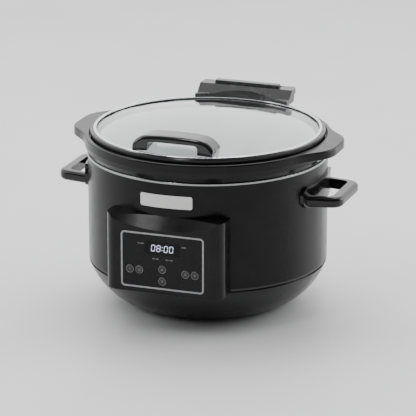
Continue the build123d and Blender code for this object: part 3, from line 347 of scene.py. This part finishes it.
component_black = dark_satin("component_black", 0.02, 0.4, 0.5)
relay_blue = tinted("relay_blue", (0.03, 0.09, 0.32), 0.35, (0.03, 0.09, 0.32), (0.04, 0.12, 0.4), 0.01)
terminal_cream = tinted("terminal_cream", (0.8, 0.79, 0.72), 0.5, (0.8, 0.79, 0.72), (0.72, 0.7, 0.62), 0.01)
cable_grey = tinted(
    "cable_grey", (0.45, 0.45, 0.47), 0.5, (0.5, 0.5, 0.52), (0.25, 0.25, 0.27), 0.9 * MM, (1, 0.05, 0.05)
)
fuse_ceramic = tinted("fuse_ceramic", (0.8, 0.78, 0.7), 0.6, (0.82, 0.8, 0.72), (0.7, 0.68, 0.6), 0.004)
rim_steel = metal("rim_steel", (0.34, 0.345, 0.35), 0.16, 0.24, (1, 1, 8), 3 * MM)
trim_steel = metal("trim_steel", (0.8, 0.81, 0.82), 0.12, 0.2, (1, 1, 8), 3 * MM)
badge_steel = metal("badge_steel", (0.62, 0.62, 0.61), 0.2, 0.28, (0.06, 1, 3), 0.5 * MM, 0.01 * MM, 0.4)
bezel_steel = metal("bezel_steel", (0.34, 0.34, 0.35), 0.3, 0.4, (0.2, 1, 1), 1 * MM)
plain_steel = metal("plain_steel", (0.55, 0.55, 0.57), 0.28, 0.4, (1, 1, 1), 1.5 * MM)
liner_aluminium = metal("liner_aluminium", (0.62, 0.63, 0.64), 0.35, 0.5, (1, 1, 6), 2 * MM, 0.02 * MM)
glaze = stoneware()
lid_clear = glass()
heater_weave = heater_cloth()
board_green = circuit_board()
print_grey = printed("print_grey", (0.20, 0.20, 0.205))
segment_light = lit_segment()

NODE_FINISH = {
    wall_paint: ["housing_wall"],
    rim_steel: ["rim_ring"],
    trim_steel: ["lid_trim_ring"],
    liner_aluminium: ["heating_liner", "heat_shield"],
    heater_weave: ["heater_band"],
    plain_steel: [
        "heater_straps", "sensor_clip", "centre_stud", "centre_nut", "foot_screws", "power_board_screws",
        "handle_backing_plates", "handle_screws", "control_screws", "board_screws", "hinge_clamp_screws",
        "hinge_pin", "lid_handle_screws", "hinge_plate_screws", "temperature_sensor",
    ],
    fuse_ceramic: ["thermal_fuse"],
    base_satin: ["base_pan"],
    rubber: ["rubber_feet", "cord_gland", "lid_gasket", "lid_handle_washers"],
    board_green: ["power_board", "display_board"],
    component_black: ["transformer", "display_module", "tactile_switches"],
    relay_blue: ["relay"],
    terminal_cream: ["terminal_block"],
    cable_grey: ["ribbon_cable"],
    handle_gloss: ["side_handle_left", "side_handle_right"],
    badge_steel: ["badge"],
    module_gloss: ["control_housing"],
    bezel_steel: ["panel_bezel"],
    fascia_gloss: ["control_fascia"],
    window_gloss: ["display_window"],
    button_gloss: [
        "power_button", "mode_button", "time_up_button", "time_down_button", "heat_button", "warm_button",
    ],
    glaze: ["crock"],
    hinge_satin: ["hinge_bracket", "hinge_clamp", "hinge_plate", "hinge_latch"],
    lid_clear: ["lid_glass"],
    frame_gloss: ["lid_frame"],
    lid_handle_gloss: ["lid_handle"],
}
for finish, names in NODE_FINISH.items():
    for name in names:
        mesh = nodes[name].data
        mesh.materials.clear()
        mesh.materials.append(finish)

# ---------------------------------------------------------------- printed and lit marks


def flat_piece(name, outlines, front_y, thickness, material, body):
    """Thin plates with the given outlines in X and Z, standing on a face square to Y."""
    mesh = bmesh.new()
    for outline in outlines:
        front = [mesh.verts.new((x, front_y - thickness, z)) for x, z in outline]
        back = [mesh.verts.new((x, front_y, z)) for x, z in outline]
        mesh.faces.new(front)
        mesh.faces.new(list(reversed(back)))
        count = len(outline)
        for i in range(count):
            j = (i + 1) % count
            mesh.faces.new((front[j], front[i], back[i], back[j]))
    bmesh.ops.recalc_face_normals(mesh, faces=mesh.faces)
    return finished_piece(name, mesh, material, body)


def finished_piece(name, mesh, material, body):
    """Turn a bmesh into an object that rides on a body."""
    data = bpy.data.meshes.new(name)
    mesh.to_mesh(data)
    mesh.free()
    data.materials.append(material)
    piece = bpy.data.objects.new(name, data)
    bpy.context.scene.collection.objects.link(piece)
    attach(piece, body)
    return piece


def bar(x, z, width, height, slant=0.0):
    """Outline of a small bar centred on a point, leaning by slant."""
    half_w, half_h = width / 2, height / 2
    lean = slant * half_h
    return [
        (x - half_w - lean, z - half_h),
        (x + half_w - lean, z - half_h),
        (x + half_w + lean, z + half_h),
        (x - half_w + lean, z + half_h),
    ]


def segment(start, end, width):
    """Outline of one pointed display segment between two points."""
    sx, sz = start
    ex, ez = end
    length = sqrt((ex - sx) ** 2 + (ez - sz) ** 2)
    ux, uz = (ex - sx) / length, (ez - sz) / length
    half = width / 2
    return [
        (sx, sz),
        (sx + ux * half - uz * half, sz + uz * half + ux * half),
        (ex - ux * half - uz * half, ez - uz * half + ux * half),
        (ex, ez),
        (ex - ux * half + uz * half, ez - uz * half - ux * half),
        (sx + ux * half + uz * half, sz + uz * half - ux * half),
    ]


# The lit segments of the two digits that the display shows
SEGMENTS = {"0": "abcdef", "8": "abcdefg"}


def digit(text, x, z):
    """Segments of one digit centred on a point."""
    half_w, half_h = DIGIT_W / 2, DIGIT_H / 2
    gap = DIGIT_STROKE * 0.12

    def at(px, pz):
        return (x + px * half_w + DIGIT_LEAN * pz * half_h, z + pz * half_h)

    ends = {
        "a": (at(-1, 1), at(1, 1)), "b": (at(1, 1), at(1, 0)), "c": (at(1, 0), at(1, -1)),
        "d": (at(-1, -1), at(1, -1)), "e": (at(-1, 0), at(-1, -1)), "f": (at(-1, 1), at(-1, 0)),
        "g": (at(-1, 0), at(1, 0)),
    }
    outlines = []
    for letter in SEGMENTS[text]:
        (sx, sz), (ex, ez) = ends[letter]
        length = sqrt((ex - sx) ** 2 + (ez - sz) ** 2)
        ux, uz = (ex - sx) / length * gap, (ez - sz) / length * gap
        outlines.append(segment((sx + ux, sz + uz), (ex - ux, ez - uz), DIGIT_STROKE))
    return outlines


window_low, window_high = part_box("display_window")
window_centre = (window_low + window_high) / 2
face_y = window_low.y
digit_outlines = []
for text, step in (("0", -1.5), ("8", -0.5), ("0", 0.5), ("0", 1.5)):
    shift = step * DIGIT_PITCH + (COLON_GAP / 2 if step > 0 else -COLON_GAP / 2)
    digit_outlines += digit(text, window_centre.x + shift, window_centre.z)
for lift in (-COLON_LIFT, COLON_LIFT):
    dot_x = window_centre.x + DIGIT_LEAN * lift
    digit_outlines.append(bar(dot_x, window_centre.z + lift, DIGIT_STROKE, DIGIT_STROKE))
flat_piece("display_digits", digit_outlines, face_y, DIGIT_T, segment_light, "base_unit")

# Generic dashes where the real fascia has small words. Places and widths are in millimetres
dash_z = window_low.z - DASH_DROP
dashes = []
for x, width in ((-11.0, 3.4), (-6.4, 3.4), (6.0, 4.0), (11.4, 4.0)):
    dashes.append(bar(window_centre.x + x * MM, dash_z, width * MM, DASH_H))
for side, width in ((-1, 8.0), (1, 6.0)):
    dash_x = window_centre.x + side * SIDE_DASH_X
    dashes.append(bar(dash_x, window_high.z - SIDE_DASH_DROP, width * MM, DASH_H))
flat_piece("fascia_dashes", dashes, face_y, PRINT_T, print_grey, "base_unit")


def button_mark(kind, x, z):
    """Generic symbol on a button: outlines of small bars and triangles."""
    half = MARK_HALF
    thin = MARK_STROKE
    if kind == "up":
        return [[(x - half, z - ARROW_BASE), (x + half, z - ARROW_BASE), (x, z + half)]]
    if kind == "down":
        return [[(x - half, z + ARROW_BASE), (x, z - half), (x + half, z + ARROW_BASE)]]
    if kind == "bar":
        return [bar(x, z, thin * 1.3, 2 * half)]
    if kind == "lines":
        return [bar(x, z + lift * MM, 2 * half, thin) for lift in (-1.1, 0.0, 1.1)]
    if kind == "waves":
        return [bar(x + shift * MM, z, thin, 2 * half, 0.35) for shift in (-1.2, 0.0, 1.2)]
    return [bar(x, z, 2 * half, thin * 1.3), bar(x, z, thin * 1.3, 2 * half)]


def ring(mesh, x, z, radius, width, front_y, height, steps=64):
    """A flat raised ring round a point, on a face square to Y."""
    profile = [
        (radius - width, 0), (radius - width * 0.8, height), (radius - width * 0.2, height), (radius, 0),
        (radius, -RING_SINK), (radius - width, -RING_SINK),
    ]
    loops = []
    for i in range(steps):
        angle = 2 * pi * i / steps
        loops.append([
            mesh.verts.new((x + r * cos(angle), front_y - h, z + r * sin(angle))) for r, h in profile
        ])
    for i in range(steps):
        a, b = loops[i], loops[(i + 1) % steps]
        for k in range(len(profile)):
            m = (k + 1) % len(profile)
            mesh.faces.new((a[k], a[m], b[m], b[k]))


BUTTON_MARKS = {
    "power_button": "bar", "mode_button": "lines", "time_up_button": "up",
    "time_down_button": "down", "heat_button": "waves", "warm_button": "cross",
}
for name, kind in BUTTON_MARKS.items():
    low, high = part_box(name)
    middle = (low + high) / 2
    cap_r = (high.x - low.x) / 2
    marks = bmesh.new()
    ring(marks, middle.x, middle.z, cap_r - BUTTON_RING_INSET, BUTTON_RING_W, low.y, BUTTON_RING_H)
    bmesh.ops.recalc_face_normals(marks, faces=marks.faces)
    finished_piece(name + "_ring", marks, print_grey, name)
    outlines = button_mark(kind, middle.x, middle.z)
    flat_piece(name + "_mark", outlines, low.y, PRINT_T, print_grey, name)

# ---------------------------------------------------------------- shading

for piece in nodes.values():
    piece.data.shade_smooth()
    piece.data.set_sharp_from_angle(angle=SMOOTH_ANGLE)

# ---------------------------------------------------------------- stage, lights, camera

floor_mesh = bmesh.new()
corners = [
    floor_mesh.verts.new((x * FLOOR_HALF, y * FLOOR_HALF, 0)) for x, y in ((-1, -1), (1, -1), (1, 1), (-1, 1))
]
floor_mesh.faces.new(corners)
floor_data = bpy.data.meshes.new("worktop")
floor_mesh.to_mesh(floor_data)
floor_mesh.free()
floor_data.materials.append(pale_floor())
worktop = bpy.data.objects.new("worktop", floor_data)
bpy.context.scene.collection.objects.link(worktop)


def softbox(name, place, aim, width, height, power):
    """A rectangular area light at a place, turned towards a point."""
    lamp = bpy.data.lights.new(name, "AREA")
    lamp.shape = "RECTANGLE"
    lamp.size = width
    lamp.size_y = height
    lamp.energy = power
    box = bpy.data.objects.new(name, lamp)
    box.location = place
    box.rotation_euler = (Vector(aim) - Vector(place)).to_track_quat("-Z", "Y").to_euler()
    bpy.context.scene.collection.objects.link(box)


softbox("top_soft", (-0.36, 0.8, 1.7), (0, 0.1, 0.2), 1.3, 0.8, 17)
softbox("left_soft", (-1.5, -0.9, 1.0), (0, 0, 0.12), 0.5, 0.8, 6)
softbox("scoop_soft", (-0.3, -0.72, 1.45), (-0.03, -0.15, 0.14), 0.2, 0.5, 2.5)
softbox("right_soft", (1.7, 1.0, 0.7), (0, 0, 0.12), 1.2, 1.2, 14)

# The surroundings glow brightly behind the cooker and fade to dim in front of it
FRONT_DIRECTION = (0.33, -0.94, 0.0)
BACK_TURN, FRONT_TURN = -0.35, 0.45
BACK_GLOW, FRONT_GLOW = 2.2, 0.10

world = bpy.data.worlds.new("studio")
bpy.context.scene.world = world
world.use_nodes = True
sky = world.node_tree
background = sky.nodes["Background"]
direction = sky.nodes.new("ShaderNodeTexCoord").outputs["Generated"]
towards_front = sky.nodes.new("ShaderNodeVectorMath")
towards_front.operation = "DOT_PRODUCT"
towards_front.inputs[1].default_value = FRONT_DIRECTION
sky.links.new(direction, towards_front.inputs[0])
fade = sky.nodes.new("ShaderNodeMapRange")
fade.interpolation_type = "SMOOTHSTEP"
for socket, number in zip(RANGE_SOCKETS, (BACK_TURN, FRONT_TURN, BACK_GLOW, FRONT_GLOW)):
    fade.inputs[socket].default_value = number
sky.links.new(towards_front.outputs["Value"], fade.inputs["Value"])
sky.links.new(fade.outputs["Result"], background.inputs["Strength"])
background.inputs["Color"].default_value = (1.0, 1.0, 1.0, 1.0)

# Camera: a long lens from the front's right and above, aimed at the cooker
AZIMUTH = radians(24.0)
PITCH = radians(18.9)
REACH = 3.44  # metres from the camera to the cooker's middle, along the view
SIDE_OFFSET = 0.238  # the cooker's middle stands this far right of the first line of sight
LIFT_OFFSET = 0.096
AIM_DROP = 0.006
SENSOR_W = 36  # millimetres, as is the lens's focal length
FOCAL_LENGTH = 240
right = Vector((cos(AZIMUTH), sin(AZIMUTH), 0))
ahead = Vector((-sin(AZIMUTH), cos(AZIMUTH), 0)) * cos(PITCH) - Vector((0, 0, 1)) * sin(PITCH)
up = right.cross(ahead)
middle_z = (cad_box[0][2] + cad_box[1][2]) / 2
aim = Vector((0, 0, middle_z))
eye = aim - right * SIDE_OFFSET - up * LIFT_OFFSET - ahead * REACH
camera_data = bpy.data.cameras.new("camera")
camera_data.sensor_width = SENSOR_W
camera_data.lens = FOCAL_LENGTH
camera = bpy.data.objects.new("camera", camera_data)
camera.location = eye
camera.rotation_euler = (aim - Vector((0, 0, AIM_DROP)) - eye).to_track_quat("-Z", "Y").to_euler()
bpy.context.scene.collection.objects.link(camera)
bpy.context.scene.camera = camera
